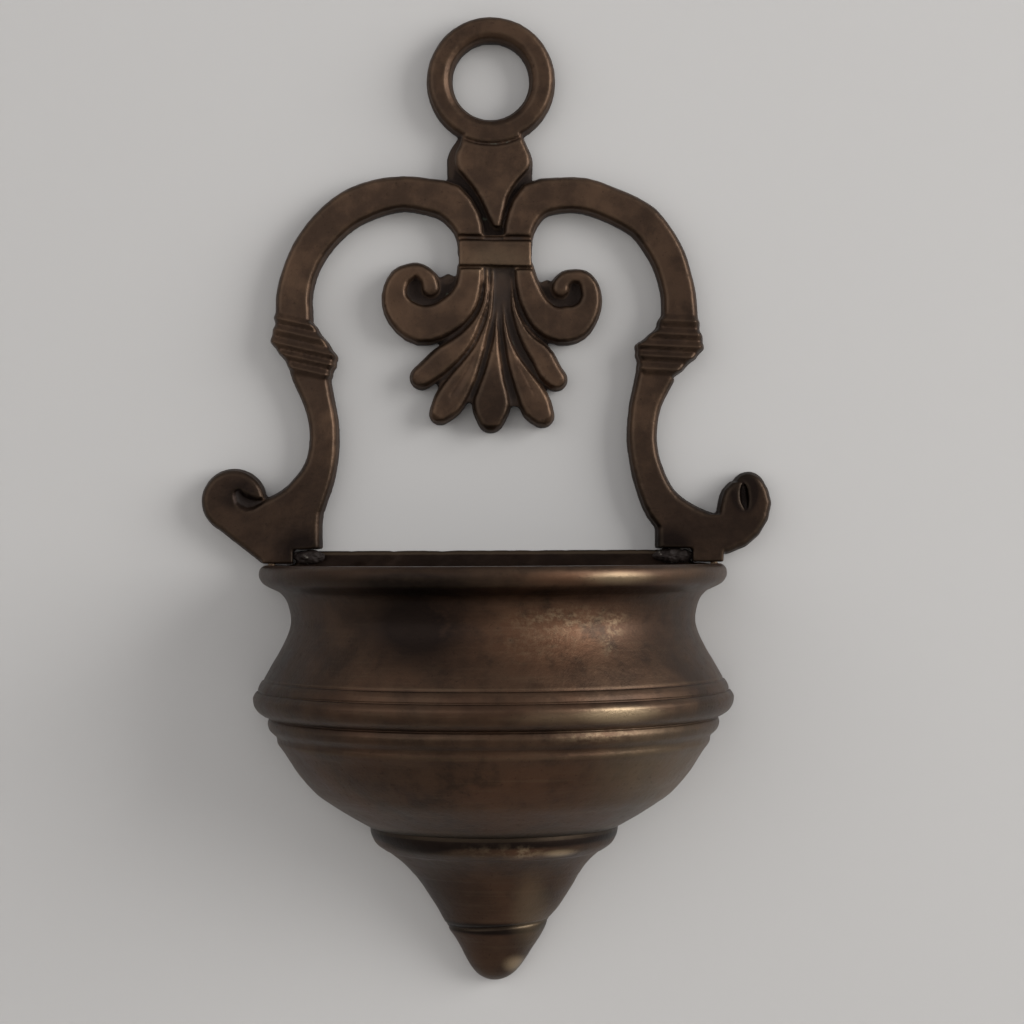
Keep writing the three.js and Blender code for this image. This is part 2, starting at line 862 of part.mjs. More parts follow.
// Knuckle: a swollen bar wrapped in reeds, which are waves in its depth and width
function knuckle(shares, lean) {
  const given = frameStations(shares, KNUCKLE_WIDTH, FRAME_DEPTH + KNUCKLE_SWELL);
  const crossing = new THREE.Vector2(Math.cos(lean), Math.sin(lean));
  const smooth = stationsAlong(given, (REED_COUNT * REED_STEP_COUNT) / (given.length - 1));
  const reeded = withCrossings(smooth, crossing).map((station, index) => {
    const dip = (1 + Math.cos((2 * Math.PI * index) / REED_STEP_COUNT)) / 2;
    return {
      ...station,
      half: station.half - (dip * REED_DEPTH) / 2,
      depth: station.depth - dip * REED_DEPTH,
    };
  });
  return skinned(reeded.map((station) => ringOf(station, EDGE_DRAFT)));
}

// Place across the font of something on the rim's end, as a share of the rim's breadth
function onRimEnd(name, share) {
  const reach = THREE.MathUtils.lerp(MOUTH_SHARE, RIM_SHARE, share) * BOWL_RADIUS;
  return name === "left" ? -reach : reach;
}

// End of the plate's upstand beside a foot tab
function upstandEnd(name) {
  const trim = TAB_WIDTH / 2 + CLEARANCE;
  const middle = onRimEnd(name, TAB_PLACE_SHARE);
  return name === "left" ? middle + trim : middle - trim;
}

// The boss grows out of the middle of the ring's band
function boss() {
  const stations = frameStations(BOSS_SHARES, BOSS_WIDTH);
  stations[0].z = FRAME_RISE - (RING_RADIUS + RING_HOLE_RADIUS) / 2;
  return bar(stations, { tip: true, crossing: LEVEL });
}

// The line cut under the ring, where its band lies over the boss
function ringLine() {
  const stations = Array.from({ length: RING_LINE_STEP_COUNT + 1 }, (_, index) => {
    const angle = THREE.MathUtils.lerp(...RING_LINE_ANGLES, index / RING_LINE_STEP_COUNT);
    return {
      x: RING_RADIUS * Math.cos(angle),
      z: FRAME_RISE + RING_RADIUS * Math.sin(angle),
      half: GROOVE_WIDTH / 2,
      depth: RING_LINE_DEPTH,
    };
  });
  return grooveTool(stations);
}

function footTab(name) {
  const half = TAB_WIDTH / 2;
  const middle = onRimEnd(name, TAB_PLACE_SHARE);
  const low = new THREE.Vector3(middle - half, -FRAME_DEPTH, CLEARANCE);
  const top = TAB_TOP_SHARE * FRAME_RISE;
  const high = new THREE.Vector3(middle + half, OVERRUN, top);
  const heelMiddle = HEEL_SHARES[name].at(-1)[0] * FRAME_REACH;
  const soleLow = new THREE.Vector3(Math.min(middle, heelMiddle), -FRAME_DEPTH, soleRise());
  const soleHigh = new THREE.Vector3(Math.max(middle, heelMiddle), OVERRUN, top);
  return block(low, high).add(block(soleLow, soleHigh));
}

// Underside of the heels, over the back plate's top edge
function soleRise() {
  return PLATE_UPSTAND + CLEARANCE;
}

// The heel stands on the back plate's top edge
function heel(name) {
  const stations = frameStations(HEEL_SHARES[name], BAR_WIDTH);
  stations.at(-1).z = soleRise();
  return bar(stations);
}

function footVolute() {
  const [across, up] = VOLUTE_PLACE_SHARES;
  const x = across * FRAME_REACH;
  const z = up * FRAME_RISE;
  const round = SHOULDER_SHARES.map(
    ([inward, high]) => new THREE.Vector2(VOLUTE_RADIUS - inward * EDGE_DRAFT, -high * FRAME_DEPTH),
  );
  const profile = [
    new THREE.Vector2(0, OVERRUN),
    new THREE.Vector2(VOLUTE_RADIUS, OVERRUN),
    new THREE.Vector2(VOLUTE_RADIUS, 0),
    ...round,
    new THREE.Vector2(0, -FRAME_DEPTH),
  ];
  const geometry = new THREE.LatheGeometry(profile, RING_SEGMENT_COUNT);
  geometry.translate(x, 0, z);
  return rightSideOut(geometry);
}

function palmette() {
  const lobes = [];
  for (const side of ["left", "right"]) {
    const scroll = palmetteStations(SCROLL_SHARES[side], SCROLL_WIDTH);
    lobes.push(bar(scroll, { steps: SCROLL_STEP_COUNT }));
    lobes.push(bar(palmetteStations(LOBE_SHARES[side], SCROLL_WIDTH), { tip: true }));
    lobes.push(bar(palmetteStations(EYE_WEB_SHARES[side], SCROLL_WIDTH)));
  }
  for (const shares of LEAF_SHARES) {
    lobes.push(bar(palmetteStations(shares, LEAF_WIDTH), { tip: true }));
  }
  lobes.push(bar(palmetteStations(PALMETTE_WEB_SHARES, LEAF_WIDTH, PALMETTE_WEB_DEPTH)));
  return joined(lobes);
}

// What is cut into the palmette's front
function palmetteTools() {
  const tool = (shares, depth, floorShare) =>
    grooveTool(palmetteStations(shares, GROOVE_WIDTH, depth), floorShare);
  return joined([
    ...LEAF_LINE_SHARES.map((shares) => tool(shares, GROOVE_DEPTH)),
    ...LEAF_HOLLOW_SHARES.map((shares) => tool(shares, HOLLOW_DEPTH)),
    tool(TONGUE_SHARES, TONGUE_DEPTH, SUNK_FLOOR_SHARE),
  ]);
}

function side(name) {
  return joined([
    bar(frameStations(ARM_SHARES[name], BAR_WIDTH)),
    knuckle(KNUCKLE_SHARES[name], REED_ANGLES[name]),
    bar(frameStations(LEG_SHARES[name], BAR_WIDTH), { tip: name === "right" }),
    heel(name),
    footTab(name),
  ]);
}

function footPinHoles() {
  return ["left", "right"].map((name) => {
    const across = onRimEnd(name, PIN_PLACE_SHARE);
    const radius = PIN_RADIUS + CLEARANCE;
    return pin(radius, -OVERRUN, PIN_IN_FOOT + CLEARANCE, across, PIN_OFFSET);
  });
}

function hangerFrame() {
  const cast = joined([
    hangingRing(),
    boss(),
    bar(frameStations(BOSS_WEB_SHARES, BOSS_WIDTH, WEB_DEPTH), { crossing: LEVEL }),
    collar(),
    bar(frameStations(LIP_SHARES, BAR_WIDTH, FRAME_DEPTH - GROOVE_DEPTH / 2)),
    palmette(),
    side("left"),
    side("right"),
    bar(frameStations(FOOT_SHARES, BAR_WIDTH)),
    bar(frameStations(HOOK_FILL_SHARES, BAR_WIDTH)),
    footVolute(),
  ]);
  const tools = joined([
    grooveTool(frameStations(VOLUTE_GROOVE_SHARES, GROOVE_WIDTH, VOLUTE_DEPTH)),
    grooveTool(frameStations(HOOK_GROOVE_SHARES, GROOVE_WIDTH, HOOK_DEPTH)),
    ...COLLAR_GROOVE_SHARES.map((shares) =>
      grooveTool(frameStations(shares, GROOVE_WIDTH, GROOVE_DEPTH), SUNK_FLOOR_SHARE),
    ),
    ringLine(),
    palmetteTools(),
    ...footPinHoles(),
  ]);
  return cast.subtract(tools).intersect(aboveRim()).subtract(plateRoom());
}

// What lies in front of the wall and over the rim
function aboveRim() {
  const far = FRAME_RISE + FRAME_REACH;
  const low = new THREE.Vector3(-far, -far, CLEARANCE);
  const high = new THREE.Vector3(far, 0, far);
  return block(low, high);
}

// The room that the back plate's upstand and the solder take up under the heels
function plateRoom() {
  const low = new THREE.Vector3(upstandEnd("left") - CLEARANCE, -FRAME_REACH, -CLEARANCE);
  const high = new THREE.Vector3(upstandEnd("right") + CLEARANCE, OVERRUN, soleRise());
  return block(low, high);
}

// Points of a turned profile, for a piece of this radius and height whose top is at this height
function moulded(shares, radius, height, top, steps = MOULDING_STEP_COUNT) {
  return shares.flatMap((moulding) => {
    const points = moulding.map(
      ([out, down]) => new THREE.Vector2(out * radius, top - down * height),
    );
    return new THREE.SplineCurve(points).getPoints((points.length - 1) * steps);
  });
}

function bowlOutline() {
  return moulded(BOWL_SHARES, BOWL_RADIUS, BOWL_DEPTH, 0);
}

// Inside of the bowl, from above the mouth down to the floor
function bowlCavity() {
  const above = new THREE.Vector2(MOUTH_SHARE * BOWL_RADIUS, OVERRUN);
  return [above, ...moulded(CAVITY_SHARES, BOWL_RADIUS, BOWL_DEPTH, 0, 1)];
}

// A profile's ends carried level to the axis
function closedOnAxis(points) {
  const first = points[0];
  const last = points.at(-1);
  return [new THREE.Vector2(0, first.y), ...points, new THREE.Vector2(0, last.y)];
}

function bowlShell() {
  const outside = turned(closedOnAxis(bowlOutline()));
  const inside = turned(closedOnAxis(bowlCavity()));
  const holes = ["left", "right"].map((name) => {
    const across = onRimEnd(name, PIN_PLACE_SHARE);
    return pin(PIN_RADIUS + CLEARANCE, -PIN_IN_RIM - CLEARANCE, OVERRUN, across, PIN_OFFSET);
  });
  const studHole = studSolid(CLEARANCE);
  const front = inFrontOf(-PLATE_THICKNESS - CLEARANCE, BOWL_RADIUS + BOWL_DEPTH);
  return outside
    .subtract(inside)
    .subtract(joined(holes))
    .subtract(studHole)
    .intersect(front);
}

// The plate follows the bowl's outline, and rises between the foot tabs
function backPlate() {
  const right = bowlOutline().map((point) => new THREE.Vector2(point.x - PLATE_INSET, point.y));
  const left = right.toReversed().map((point) => new THREE.Vector2(-point.x, point.y));
  const outline = new THREE.Shape([
    new THREE.Vector2(upstandEnd("left"), 0),
    new THREE.Vector2(upstandEnd("left"), PLATE_UPSTAND),
    new THREE.Vector2(upstandEnd("right"), PLATE_UPSTAND),
    new THREE.Vector2(upstandEnd("right"), 0),
    ...right,
    ...left,
  ]);
  const geometry = new THREE.ExtrudeGeometry(outline, {
    depth: PLATE_THICKNESS,
    bevelEnabled: false,
  });
  geometry.rotateX(Math.PI / 2);
  return solidOf(geometry);
}

// A half-round piece under the bowl, bored for the stud
function hangingPiece(shares, radius, height, top) {
  const profile = closedOnAxis(moulded(shares, radius, height, top));
  const front = inFrontOf(0, BOWL_DEPTH + PENDANT_HEIGHT + DROP_HEIGHT);
  return turned(profile).subtract(studSolid(CLEARANCE)).intersect(front);
}

function pendant() {
  const top = -BOWL_DEPTH - CLEARANCE;
  return hangingPiece(PENDANT_SHARES, PENDANT_RADIUS, PENDANT_HEIGHT - CLEARANCE, top);
}

function dropFinial() {
  const top = -BOWL_DEPTH - PENDANT_HEIGHT - CLEARANCE;
  return hangingPiece(DROP_SHARES, DROP_RADIUS, DROP_HEIGHT, top);
}

// The stud, or the hole for it where a clearance is given
function studSolid(clearance) {
  const high = -BOWL_DEPTH + STUD_GRIP + clearance;
  const low = -BOWL_DEPTH - PENDANT_HEIGHT - STUD_IN_DROP - clearance;
  return pin(STUD_RADIUS + clearance, low, high, 0, STUD_OFFSET);
}

function footPin(name) {
  return pin(PIN_RADIUS, -PIN_IN_RIM, PIN_IN_FOOT, onRimEnd(name, PIN_PLACE_SHARE), PIN_OFFSET);
}

// A lump of solder in the corner between a heel's underside and the front of the plate
function solderFillet(name) {
  const across = HEEL_SHARES[name].at(-1)[0] * FRAME_REACH;
  const lump = new THREE.SphereGeometry(1, SMALL_SEGMENT_COUNT, SMALL_SEGMENT_COUNT / 2);
  lump.scale(SOLDER_LENGTH / 2, SOLDER_DEPTH, SOLDER_HEIGHT);
  lump.translate(across, -PLATE_THICKNESS, PLATE_UPSTAND);
  const low = new THREE.Vector3(upstandEnd("left"), -FRAME_DEPTH, 0);
  const face = -PLATE_THICKNESS - CLEARANCE;
  const high = new THREE.Vector3(upstandEnd("right"), face, PLATE_UPSTAND);
  return solidOf(lump).intersect(block(low, high));
}

const font = new THREE.Group();
const cast = new THREE.Group();
cast.position.z = -(FRAME_RISE + RING_HOLE_RADIUS);
font.add(cast);

function addPiece(name, solid, finish) {
  const material = new THREE.MeshStandardMaterial(FINISHES[finish]);
  const mesh = new THREE.Mesh(geometryOf(solid), material);
  mesh.name = name;
  cast.add(mesh);
}

addPiece("hanger_frame", hangerFrame(), "dark_brass");
addPiece("bowl_shell", bowlShell(), "worn_brass");
addPiece("back_plate", backPlate(), "plate_brass");
addPiece("pendant", pendant(), "worn_brass");
addPiece("drop_finial", dropFinial(), "worn_brass");
addPiece("pendant_stud", studSolid(0), "fixing_brass");
for (const name of ["left", "right"]) {
  addPiece(`foot_pin_${name}`, footPin(name), "fixing_brass");
  addPiece(`solder_fillet_${name}`, solderFillet(name), "solder_grey");
}

export default font;
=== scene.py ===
import math
from contextlib import contextmanager
from functools import cached_property

import bpy
import numpy as np
from mathutils import Matrix, Vector


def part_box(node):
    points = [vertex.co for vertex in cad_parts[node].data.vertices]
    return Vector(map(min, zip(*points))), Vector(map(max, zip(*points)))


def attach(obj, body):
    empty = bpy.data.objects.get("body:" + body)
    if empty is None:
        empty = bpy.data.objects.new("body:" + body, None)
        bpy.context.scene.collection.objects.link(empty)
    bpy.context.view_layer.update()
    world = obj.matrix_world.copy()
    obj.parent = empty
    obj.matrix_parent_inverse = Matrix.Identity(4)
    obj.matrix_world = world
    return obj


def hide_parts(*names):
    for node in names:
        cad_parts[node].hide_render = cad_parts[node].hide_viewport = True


bl_info = {
    "name": "Holy Water Font",
    "version": (1, 0, 0),
    "blender": (4, 5, 0),
    "location": "View3D > Sidebar > Font",
    "description": "A wall-hung holy water font in patinated brass",
    "category": "Object",
}

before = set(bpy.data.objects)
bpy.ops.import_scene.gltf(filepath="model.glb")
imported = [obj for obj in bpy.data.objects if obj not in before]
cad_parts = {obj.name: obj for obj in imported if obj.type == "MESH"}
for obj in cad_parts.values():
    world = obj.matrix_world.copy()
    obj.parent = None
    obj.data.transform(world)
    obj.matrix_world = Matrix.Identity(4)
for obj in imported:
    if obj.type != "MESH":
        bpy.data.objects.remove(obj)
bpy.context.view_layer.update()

MM = 0.001
BODY = "root"
RIM_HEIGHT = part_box("bowl_shell")[1].z
BOWL_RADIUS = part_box("bowl_shell")[1].x
PLATE_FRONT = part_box("back_plate")[0].y


# Sizes and colours

class FontSizes(bpy.types.PropertyGroup):
    casting_grain: bpy.props.FloatProperty(
        name="Casting grain", description="Height of the cast surface's roughness",
        default=0.07 * MM, unit="LENGTH", precision=6)
    casting_mesh: bpy.props.FloatProperty(
        name="Casting mesh", description="Size of the faces on the hanger's surface",
        default=0.30 * MM, unit="LENGTH", precision=6)
    plate_mesh: bpy.props.FloatProperty(
        name="Plate mesh", description="Size of the faces on the back plate's surface",
        default=0.55 * MM, unit="LENGTH", precision=6)
    joint_gap: bpy.props.FloatProperty(
        name="Joint gap", description="Space between neighbouring pieces",
        default=0.05 * MM, unit="LENGTH", precision=6)
    moulding_edge: bpy.props.FloatProperty(
        name="Moulding edge", description="Width of the worn edge between two mouldings",
        default=0.16 * MM, unit="LENGTH", precision=6)
    drop_lean: bpy.props.FloatProperty(
        name="Drop lean", description="How far the joint over the drop is askew",
        default=math.radians(3.4), unit="ROTATION")
    cone_sway: bpy.props.FloatProperty(
        name="Cone sway", description="How far the cone and the drop's top stand off the middle",
        default=0.75 * MM, unit="LENGTH", precision=6)


class FontColours(bpy.types.PropertyGroup):
    face: bpy.props.FloatVectorProperty(
        name="Patina", description="Brown patina on the open faces",
        default=(0.090, 0.054, 0.034), subtype="COLOR")
    shade: bpy.props.FloatVectorProperty(
        name="Dark patina", description="Darker blotches in the patina",
        default=(0.050, 0.031, 0.021), subtype="COLOR")
    # Also the colour of the painted highlights
    worn: bpy.props.FloatVectorProperty(
        name="Worn brass", description="Brass that shows on rubbed edges",
        default=(0.31, 0.23, 0.142), subtype="COLOR")
    copper: bpy.props.FloatVectorProperty(
        name="Copper", description="Reddish patches on the turned pieces",
        default=(0.125, 0.064, 0.037), subtype="COLOR")
    # Also the colour of the painted shade in the hollows, the recesses and the stain ovals
    dirt: bpy.props.FloatVectorProperty(
        name="Dirt", description="Dirt in the hollows",
        default=(0.014, 0.009, 0.007), subtype="COLOR")
    verdigris: bpy.props.FloatVectorProperty(
        name="Verdigris", description="Pale green corrosion in a few corners",
        default=(0.16, 0.21, 0.15), subtype="COLOR")
    solder: bpy.props.FloatVectorProperty(
        name="Solder", description="Grey solder at the joints",
        default=(0.22, 0.20, 0.17), subtype="COLOR")
    wall: bpy.props.FloatVectorProperty(
        name="Wall", description="Plain wall behind the font",
        default=(0.51, 0.50, 0.485), subtype="COLOR")


# Ovals of stain, painted shade, wear and painted highlight on the front, in millimetres from the
# middle
# of the rim: how far across and up, half their width and height, and their strength

HANGER_STAIN_AND_SHADE = (
    (-52, 9, 34, 34, 0.60),  # left foot
    (52, 9, 34, 34, 0.60),  # right foot
    (-55, 15.5, 6, 5, 0.60),  # eye of the left scroll, painted shade in its hollow
    (55, 15.5, 4, 6, 0.90),  # eye of the right scroll, painted shade in its hollow
    (-41, 3, 8, 7, 0.70),  # left heel, painted shadow under the foot
    (38, 3, 8, 7, 0.80),  # right heel, painted shadow under the foot
    (1, 33, 13, 13, 0.60),  # tips of the leaves
    (-20, 59, 4, 4, 0.30),  # left C-scroll
    (20, 59, 4, 4, 0.30),  # right C-scroll
    (2, 58, 5, 14, 0.40),  # stem under the collar
    (50, 50, 34, 62, 0.42),  # painted shade over the right arm and leg
    (0, 104, 24, 22, 0.34),  # painted shade over the ring
)
HANGER_PAINTED_HIGHLIGHT = (
    (1, 66.5, 12, 5, 0.14),  # painted highlight on the collar
)
BOWL_STAIN_AND_SHADE = (
    (-15, -12, 20, 14, 0.85),  # neck
    (-20, -2.5, 38, 4, 0.60),  # rim
    (30, -13, 12, 12, 0.30),  # painted shade over the lit right of the neck
    (-44, -20, 20, 34, 0.25),  # painted shade on the left side, away from the lamp
    (0, -57, 90, 2.0, 0.80),  # painted shade along the seam over the foot ring
)
BOWL_RUDDY = (
    (13, -13.5, 28, 12, 1.0),  # neck
    (14, -2.6, 14, 2.6, 0.90),  # rim
    (2, -45, 28, 14, 0.50),  # body
)
# Worn patches with painted highlight on them, on the side where the lamp glints
BOWL_RUB_AND_HIGHLIGHT = (
    (15, -10.6, 16, 3.6, 0.34),  # hollow of the neck
    (25.5, -12, 3.4, 4, 0.30),  # fleck at its right end
    (24, -16, 2.8, 4, 0.26),  # fleck under that one
    (10, -15, 16, 7, 0.14),  # lower neck
    (22, -34.2, 15, 2.5, 0.30),  # bead under the belt
)
# Painted highlights, where the lamp glints
BOWL_PAINTED_HIGHLIGHT = (
    (26, -30.1, 11, 2.4, 0.85),  # belt
    (18, -30.3, 20, 2.0, 0.25),  # belt, wider and fainter
    (26, -2.6, 10, 1.8, 0.55),  # rim
    (35, -43, 20, 16, 0.26),  # body
)
PENDANT_STAIN_AND_SHADE = (
    (-16, -59.2, 11, 3.4, 0.95),  # foot ring
    (0, -57.8, 90, 2.2, 1.5),  # painted shade along the seam under the bowl
    (-14, -70, 14, 14, 0.30),  # painted shade on the left of the cone, away from the lamp
    (0, -78.5, 24, 1.9, 1.5),  # painted shade along the joint over the drop
)
PENDANT_RUDDY = (
    (7, -60.2, 8, 3, 0.90),  # foot ring
    (4, -72, 8, 12, 0.30),  # cone
)
# Worn patches with painted highlight on them, on the side where the lamp glints
PENDANT_RUB_AND_HIGHLIGHT = (
    (7, -60.4, 6, 2.2, 0.55),  # foot ring
    (0, -60, 12, 2.6, 0.18),  # foot ring, wider and fainter
)
# Painted highlights, where the lamp glints
PENDANT_PAINTED_HIGHLIGHT = (
    (14, -60.8, 5, 1.2, 1.0),  # foot ring
    (8, -75, 6, 13, 0.26),  # cone
    (4.6, -87, 3.6, 2.8, 0.95),  # tip of the drop
)
# Darker along the plate's upper edge
PLATE_DARKER_EDGE = (
    (0, 2, 90, 10, 0.8),  # upper edge
)
OVAL_FADE = (-4 * MM, -0.5 * MM)  # an oval fades out between these depths, towards the flat back


# Shader maths

class Term:
    """A node's output, which can be added, multiplied and subtracted like a number."""

    def __init__(self, finish, socket):
        self.finish = finish
        self.socket = socket

    def _sum(self, operation, first, second):
        return self.finish.node(
            "ShaderNodeMath", {"operation": operation}, {0: first, 1: second})

    def __add__(self, other):
        return self._sum("ADD", self, other)

    def __radd__(self, other):
        return self._sum("ADD", other, self)

    def __sub__(self, other):
        return self._sum("SUBTRACT", self, other)

    def __rsub__(self, other):
        return self._sum("SUBTRACT", other, self)

    def __mul__(self, other):
        return self._sum("MULTIPLY", self, other)

    def __rmul__(self, other):
        return self._sum("MULTIPLY", other, self)


class Finish:
    """A material or a world while it is made: its nodes and the links between them."""

    def __init__(self, owner):
        owner.use_nodes = True
        self.owner = owner
        self.tree = owner.node_tree
        self.tree.nodes.clear()

    @cached_property
    def place(self):
        """Where a point lies on the object, in metres."""
        return self.node("ShaderNodeTexCoord", output="Object")

    @cached_property
    def depth(self):
        """0 at the flat back, and less the further forward a point lies."""
        return self.node("ShaderNodeSeparateXYZ", None, {0: self.place}, output="Y")

    def node(self, kind, settings=None, values=None, output=0):
        """Adds a node, with its settings first and then its sockets' values or links."""
        made = self.tree.nodes.new(kind)
        for name, setting in (settings or {}).items():
            setattr(made, name, setting)
        for name, value in (values or {}).items():
            socket = made.inputs[name]
            if isinstance(value, Term):
                self.tree.links.new(value.socket, socket)
            else:
                socket.default_value = value
        return Term(self, made.outputs[output]) if len(made.outputs) else made

    def noise(self, size, detail=4.0, roughness=0.55, stretch=(1, 1, 1), shift=0.0):
        """Noise whose blobs are about this many metres across."""
        place = self.node("ShaderNodeMapping", None, {
            "Vector": self.place, "Scale": stretch, "Location": (shift, shift, shift)})
        return self.node("ShaderNodeTexNoise", {"noise_dimensions": "3D"}, {
            "Vector": place, "Scale": 1 / size, "Detail": detail, "Roughness": roughness})

    def ramped(self, value, low, high):
        """0 below low, 1 above high and smooth between them."""
        return self.node("ShaderNodeMapRange", {"interpolation_type": "SMOOTHSTEP"}, {
            "Value": value, "From Min": low, "From Max": high})

    def marked(self, name):
        """A value that the mesh holds at each of its corners."""
        return self.node("ShaderNodeAttribute", {"attribute_name": name}, output="Fac")

    def spot(self, across, up, breadth, rise):
        """1 in the middle of an oval on the front, and 0 outside it."""
        point = Vector((across * MM, 0, RIM_HEIGHT + up * MM))
        reach = Vector((breadth * MM, 1, rise * MM))
        away = self.node("ShaderNodeVectorMath", {"operation": "SUBTRACT"}, {
            0: self.place, 1: point})
        shares = self.node("ShaderNodeVectorMath", {"operation": "DIVIDE"}, {0: away, 1: reach})
        length = self.node("ShaderNodeVectorMath", {"operation": "LENGTH"}, {
            0: shares}, output="Value")
        return 1 - self.ramped(length, 0.1, 1)

    def spots(self, places):
        """Ovals added up, each times its own strength."""
        total = 0
        for *place, amount in places:
            total = total + self.spot(*place) * amount
        return (1 - self.ramped(self.depth, *OVAL_FADE)) * total

    def mixed(self, factor, first, second):
        colours = [c if isinstance(c, Term) else (*c, 1) for c in (first, second)]
        return self.node("ShaderNodeMix", {"data_type": "RGBA", "clamp_factor": True}, {
            0: factor, 6: colours[0], 7: colours[1]}, output=2)

    def bump(self, height, strength, distance, normal=None):
        values = {"Height": height, "Strength": strength, "Distance": distance}
        if normal is not None:
            values["Normal"] = normal
        return self.node("ShaderNodeBump", None, values)

    def ended(self, shader, output="ShaderNodeOutputMaterial"):
        """Sends a shader to the output, and gives back what the nodes belong to."""
        self.node(output, None, {"Surface": shader})
        return self.owner

    def surface(self, fixed, varied):
        """Ends the material in one Principled shader."""
        return self.ended(self.node("ShaderNodeBsdfPrincipled", None, {**fixed, **varied}))


# Materials of the object

def brass(name, wear, turned=False, dark=0.0, depth=0.0, stain_and_shade=(), ruddy=(), rub_and_highlight=(), painted_highlight=()):
    """Old brass under a brown patina, with dirt and painted shade in its hollows, bright rubbed
    edges and painted highlights.

    wear is how bright the edges are, dark is how much darker the whole surface is made, and depth is
    how far the front faces of a flat casting stand off its back; what lies further back gets painted
    shade. The lists hold ovals of stain, painted shade, wear and painted highlight.
    """
    colours = bpy.context.scene.font_colours
    finish = Finish(bpy.data.materials.new(name))
    ridge = finish.marked("ridge")
    form = finish.marked("form")
    cloud = finish.noise(16 * MM, 5, 0.6)
    patch = finish.noise(5 * MM, 5, 0.62, shift=3.0)
    fleck = finish.noise(2.2 * MM, 5, 0.65, stretch=(1, 1, 1.8), shift=5.0)
    grain = finish.noise(0.7 * MM, 4, 0.65, shift=7.0)

    # Patina in two browns
    blotch = finish.ramped(0.55 * cloud + 0.45 * patch, 0.40, 0.60)
    colour = finish.mixed(blotch, colours.shade, colours.face)

    # Copper patches, and streaks left by the lathe
    if turned:
        streak = finish.noise(6 * MM, 4, 0.6, stretch=(0.35, 0.35, 9), shift=11.0)
        warm = finish.ramped(finish.noise(22 * MM, 4, 0.6, shift=15.0), 0.42, 0.60) * 0.35
        warm = warm + finish.spots(ruddy) * finish.ramped(patch, 0.30, 0.55)
        colour = finish.mixed(warm, colour, colours.copper)
        colour = finish.mixed(finish.ramped(streak, 0.50, 0.75) * 0.08, colour, colours.worn)

    # Darker all over, dirt and painted shade in the stain ovals, and painted shade on the side walls
    # and sunk floors that lie behind the front faces, which are also made dull
    sides = 0
    dirt_and_shade = dark + finish.spots(stain_and_shade) * finish.ramped(0.7 * cloud + 0.3 * fleck, 0.10, 0.47)
    if depth:
        sunk_shade = finish.ramped(finish.depth + 0.8 * MM * (patch - 0.5), -depth, -depth / 2)
        dirt_and_shade = dirt_and_shade + sunk_shade * 0.6 + finish.ramped(finish.depth, -depth / 2, -depth / 5) * 0.4
        sides = finish.ramped(finish.depth, -depth, -0.7 * depth)
    colour = finish.mixed(dirt_and_shade, colour, colours.dirt)

    # Wear on the edges, wear with painted highlight in mottled ovals, and painted highlights in
    # smooth ones
    edge = finish.ramped(ridge + 0.16 * (fleck - 0.5) + 0.05 * (grain - 0.5), 0.62, 0.84)
    mottle = finish.ramped(0.7 * fleck + 0.3 * grain, 0.44, 0.64)
    # bright holds the painted highlights: smooth ovals where the lamp glints
    bright = finish.spots(painted_highlight)
    rubbed = edge * 0.30 * wear + finish.spots(rub_and_highlight) * mottle + bright
    colour = finish.mixed(rubbed, colour, colours.worn)

    # Dirt and painted shade in the hollows, verdigris there, and dark pits everywhere
    hollow_dirt_and_shade = 1 - finish.ramped(form + 0.10 * (patch - 0.5), 0.22, 0.42)
    colour = finish.mixed(hollow_dirt_and_shade * 0.8, colour, colours.dirt)
    pit = finish.ramped(0.6 * grain + 0.4 * fleck, 0.56, 0.68)
    colour = finish.mixed(pit * 0.45, colour, colours.dirt)
    green = hollow_dirt_and_shade * finish.ramped(finish.noise(3 * MM, 3, 0.5, shift=21.0), 0.66, 0.74)
    colour = finish.mixed(green * 0.40, colour, colours.verdigris)

    bumps = finish.bump(0.5 * patch + 0.3 * cloud + 0.2 * fleck, 0.35, 0.6 * MM)
    bumps = finish.bump(grain, 0.35, 0.15 * MM, bumps)
    roughness = (0.46 + 0.22 * (patch - 0.5) + 0.12 * (fleck - 0.5) + 0.16 * hollow_dirt_and_shade
                 + 0.12 * pit - 0.10 * rubbed - 0.08 * bright + 0.30 * sides)
    return finish.surface(
        {"Coat Roughness": 0.30, "Coat IOR": 1.45, "Specular IOR Level": 0.2},
        {
            "Base Color": colour,
            "Metallic": finish.ramped(1 - hollow_dirt_and_shade * 0.8 - green - 0.85 * sides, 0.0, 1.0),
            "Roughness": roughness,
            "Coat Weight": 0.06 * (1 - hollow_dirt_and_shade) * (1 - sides),
            "Normal": bumps,
        })


def solder_finish():
    """Grey solder that shines only where it isn't covered with dirt."""
    colours = bpy.context.scene.font_colours
    finish = Finish(bpy.data.materials.new("solder_grey"))
    patch = finish.noise(2 * MM, 4, 0.6)
    grain = finish.noise(0.4 * MM, 3, 0.6, shift=5.0)
    colour = finish.mixed(finish.ramped(patch, 0.58, 0.66), colours.dirt, colours.solder)
    return finish.surface({"Specular IOR Level": 0.2}, {
        "Base Color": colour,
        "Metallic": finish.ramped(patch, 0.55, 0.66) * 0.6,
        "Roughness": 0.50 + 0.35 * grain,
        "Normal": finish.bump(0.5 * patch + 0.5 * grain, 0.5, 0.3 * MM),
    })


def fixing_finish():
    """Plain turned brass, with a faint grain along the pins."""
    colours = bpy.context.scene.font_colours
    finish = Finish(bpy.data.materials.new("fixing_brass"))
    grain = finish.noise(1.2 * MM, 4, 0.6, stretch=(1, 1, 4))
    colour = finish.mixed(finish.ramped(grain, 0.35, 0.7), colours.face, colours.worn)
    return finish.surface({}, {
        "Base Color": colour,
        "Metallic": 0.8 + 0.15 * grain,
        "Roughness": 0.3 + 0.25 * grain,
        "Normal": finish.bump(grain, 0.3, 0.1 * MM),
    })


